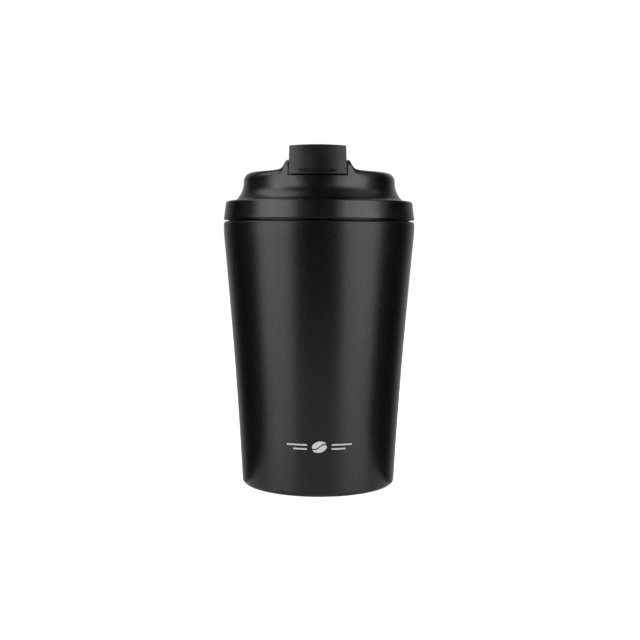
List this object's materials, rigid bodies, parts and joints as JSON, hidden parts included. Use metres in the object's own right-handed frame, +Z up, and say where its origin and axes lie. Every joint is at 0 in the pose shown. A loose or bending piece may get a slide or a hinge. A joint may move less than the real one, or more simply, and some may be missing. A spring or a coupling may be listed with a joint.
{
  "type": "insulated travel mug",
  "caption": "Flared double-walled vacuum mug with a screw-in lid, raised collar and flip-up drink tab over a drafted stopper.",
  "frame": {"origin": "centre of the base, on the surface the mug stands on", "axes": "+Z up along the cup's axis, the drink tab faces -Y"},
  "size_m": [0.0878, 0.0878, 0.1535],
  "materials": {
    "powder_coat": "satin black powder coat with a fine grain",
    "liner_steel": "satin electropolished stainless steel",
    "base_steel": "plain stainless sheet",
    "solder_glass": "fused solder glass",
    "getter_metal": "pressed powder metal",
    "foil_metal": "bright copper-coloured foil",
    "cap_steel": "spin-brushed stainless steel",
    "pad_silicone": "matte black silicone",
    "lid_plastic": "satin black moulded polypropylene",
    "deck_plastic": "satin black moulded polypropylene",
    "plug_plastic": "satin black moulded polypropylene",
    "seal_silicone": "translucent grey silicone",
    "pin_steel": "ground stainless pin",
    "tab_plastic": "satin black moulded plastic",
    "stopper_silicone": "dark grey silicone"
  },
  "bodies": {
    "cup": {"outer_shell": "powder_coat", "inner_liner": "liner_steel", "vacuum_base": "base_steel", "seal_bead": "solder_glass", "getter_holder": "base_steel", "getter_pill": "getter_metal", "liner_foil": "foil_metal", "base_cap": "cap_steel", "base_pad": "pad_silicone"},
    "seal_ring": {"lid_seal": "seal_silicone"},
    "lid": {"lid_cover": "lid_plastic", "lid_deck": "deck_plastic", "lid_plug": "plug_plastic", "drink_gasket": "seal_silicone", "vent_gasket": "seal_silicone", "hinge_pin": "pin_steel"},
    "flip_tab": {"flip_arm": "tab_plastic", "flip_stopper": "stopper_silicone", "vent_pad": "stopper_silicone"}
  },
  "joints": [
    {"name": "lid_lift", "type": "slide", "parent": "cup", "child": "seal_ring", "axis": [0, 0, 1], "range_m": [0, 0.018]},
    {"name": "lid_turn", "type": "hinge", "parent": "seal_ring", "child": "lid", "pos_m": [0, 0, 0.125], "axis": [0, 0, 1], "range_deg": [0, 540]},
    {"name": "tab_flip", "type": "hinge", "parent": "lid", "child": "flip_tab", "pos_m": [0, 0.01, 0.14165], "axis": [-1, 0, 0], "range_deg": [0, 115]}
  ],
  "couplings": [
    {"joint": "lid_lift", "follows": "lid_turn", "m_per_rad": 0.0019099}
  ]
}
